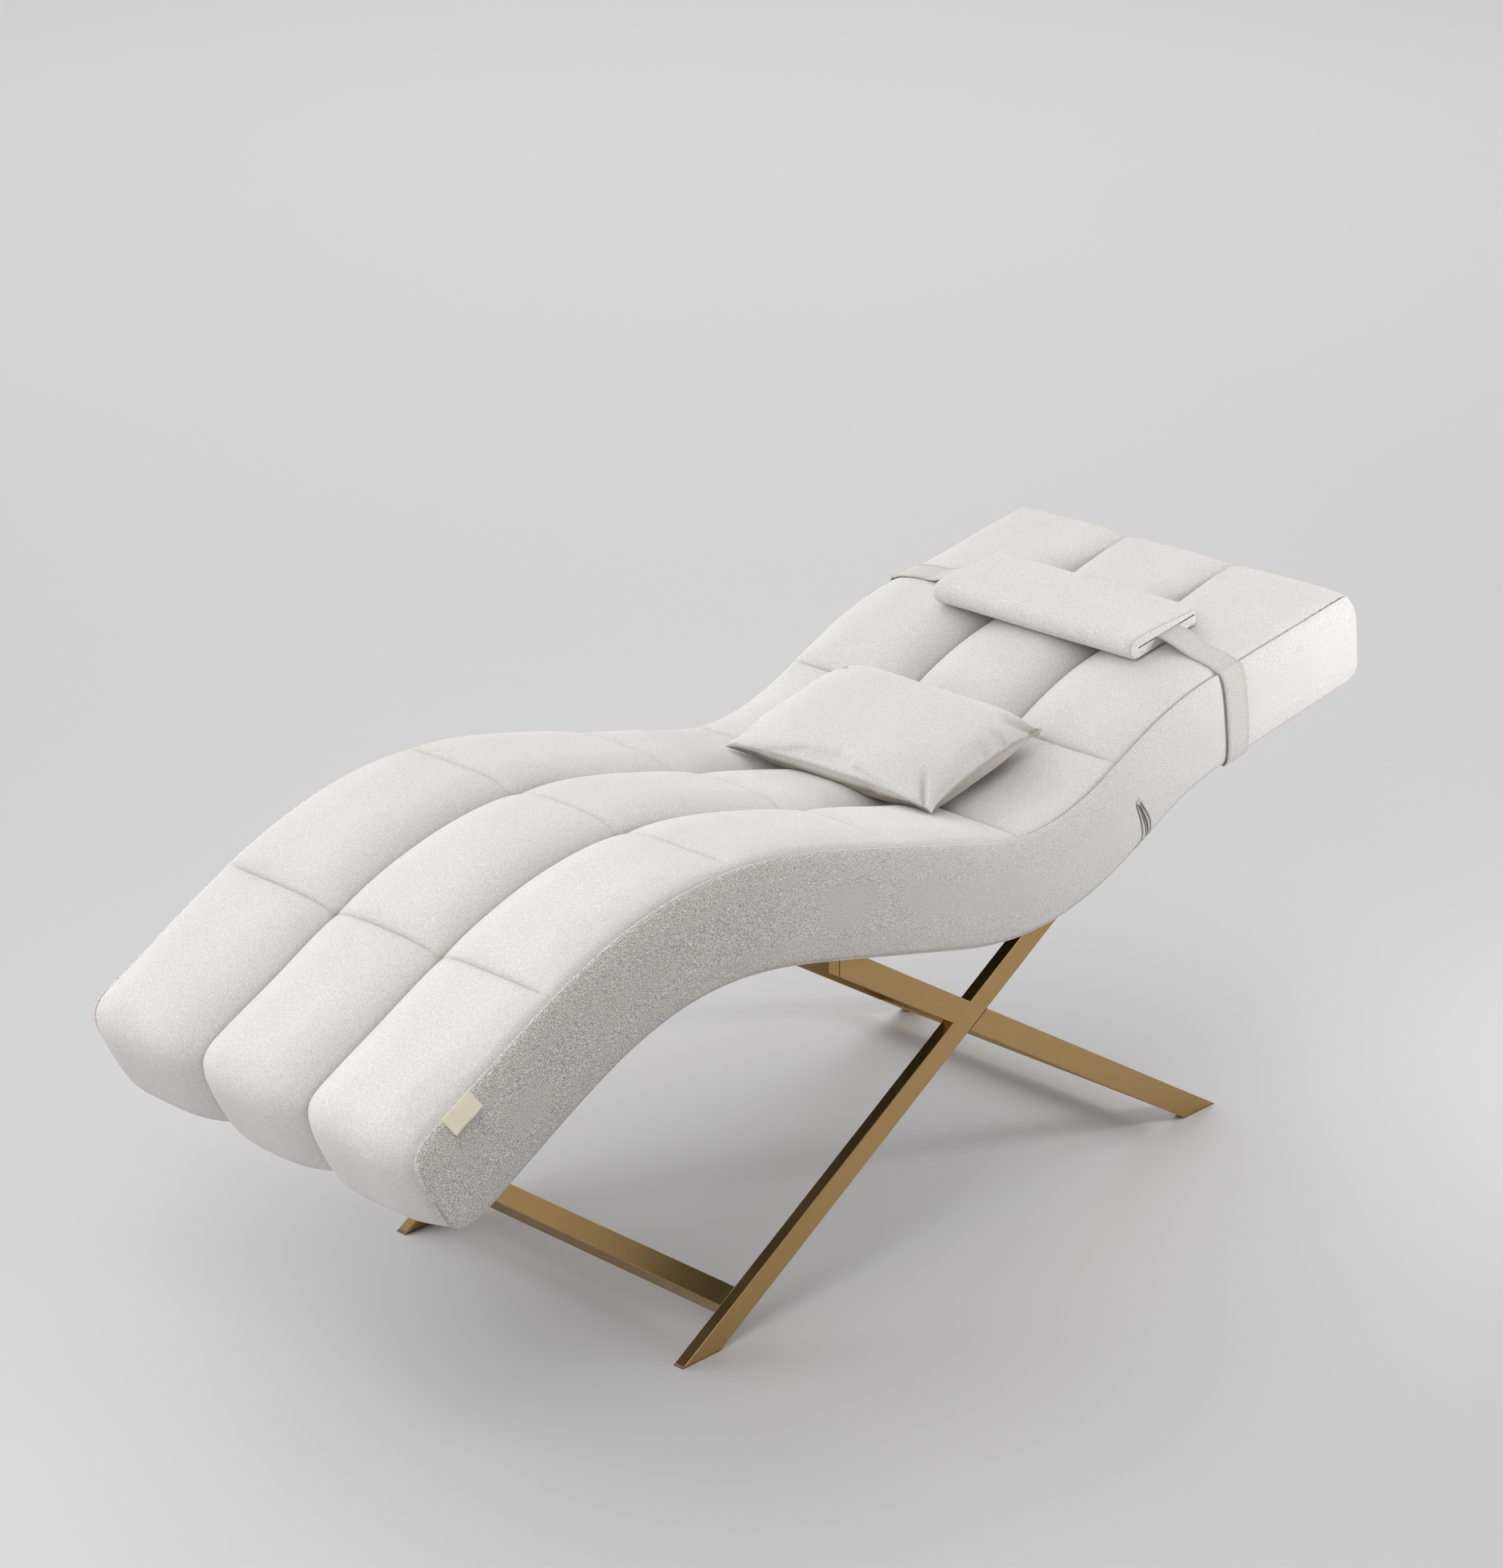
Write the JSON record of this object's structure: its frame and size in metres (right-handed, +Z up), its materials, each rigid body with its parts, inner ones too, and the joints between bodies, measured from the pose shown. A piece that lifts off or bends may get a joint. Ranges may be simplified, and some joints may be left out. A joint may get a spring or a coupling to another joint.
{
  "type": "eyelash extension bed",
  "caption": "Padded lash bed with a reclining S-shaped quilted cushion in off-white fabric on crossed brushed brass legs, with a loose pillow and a folded head pad on a strap",
  "frame": {"origin": "on the floor, under the middle of the bed's length and width", "axes": "+X towards the head end, +Y to the side on the client's right, +Z up"},
  "size_m": [1.934, 0.6645, 0.7874],
  "materials": {
    "upholstery": "off-white fine bouclé",
    "pad_fabric": "off-white fine bouclé",
    "label": "cotton tape, blank",
    "foam": "open-cell foam",
    "filling": "polyester fibre",
    "plywood": "bare plywood",
    "timber": "bare softwood",
    "lining": "black lining cloth",
    "brass": "brushed satin brass",
    "steel": "zinc plated",
    "glide": "black nylon",
    "fastener": "hook and loop tape"
  },
  "bodies": {
    "bed": {"bracket_bolt_front_left_1": "steel", "bracket_bolt_front_left_2": "steel", "bracket_bolt_front_right_1": "steel", "bracket_bolt_front_right_2": "steel", "bracket_bolt_rear_left_1": "steel", "bracket_bolt_rear_left_2": "steel", "bracket_bolt_rear_right_1": "steel", "bracket_bolt_rear_right_2": "steel", "bracket_front_left": "steel", "bracket_front_right": "steel", "bracket_rear_left": "steel", "bracket_rear_right": "steel", "cross_rail_1": "timber", "cross_rail_2": "timber", "cross_rail_3": "timber", "cross_rail_4": "timber", "cross_rail_5": "timber", "cross_rail_6": "timber", "deck_board": "plywood", "foam_core": "foam", "foot_end_board": "plywood", "front_leg_left": "brass", "front_leg_right": "brass", "front_stretcher": "brass", "glide_front_left": "glide", "glide_front_right": "glide", "glide_rear_left": "glide", "glide_rear_right": "glide", "head_end_board": "plywood", "label_tab": "label", "left_rib": "plywood", "left_side_panel": "upholstery", "mount_block_front_left": "timber", "mount_block_front_right": "timber", "mount_block_rear_left": "timber", "mount_block_rear_right": "timber", "quilted_cover": "upholstery", "rear_leg_lower_left": "brass", "rear_leg_lower_right": "brass", "rear_leg_upper_left": "brass", "rear_leg_upper_right": "brass", "rear_stretcher": "brass", "right_rib": "plywood", "right_side_panel": "upholstery", "tube_end_cap_left": "brass", "tube_end_cap_right": "brass", "underside_cloth": "lining"},
    "pillow": {"pillow_bottom_panel": "pad_fabric", "pillow_filling": "filling", "pillow_top_panel": "pad_fabric"},
    "head_pad": {"head_pad": "pad_fabric", "head_strap": "pad_fabric", "strap_fastener": "fastener"}
  },
  "joints": [
    {"name": "pillow_lift", "type": "slide", "parent": "bed", "child": "pillow", "axis": [0, 0, 1], "range_m": [0, 0.3]},
    {"name": "head_pad_slide", "type": "slide", "parent": "bed", "child": "head_pad", "axis": [0.9885, 0, 0.1513], "range_m": [0, 0.13]}
  ]
}
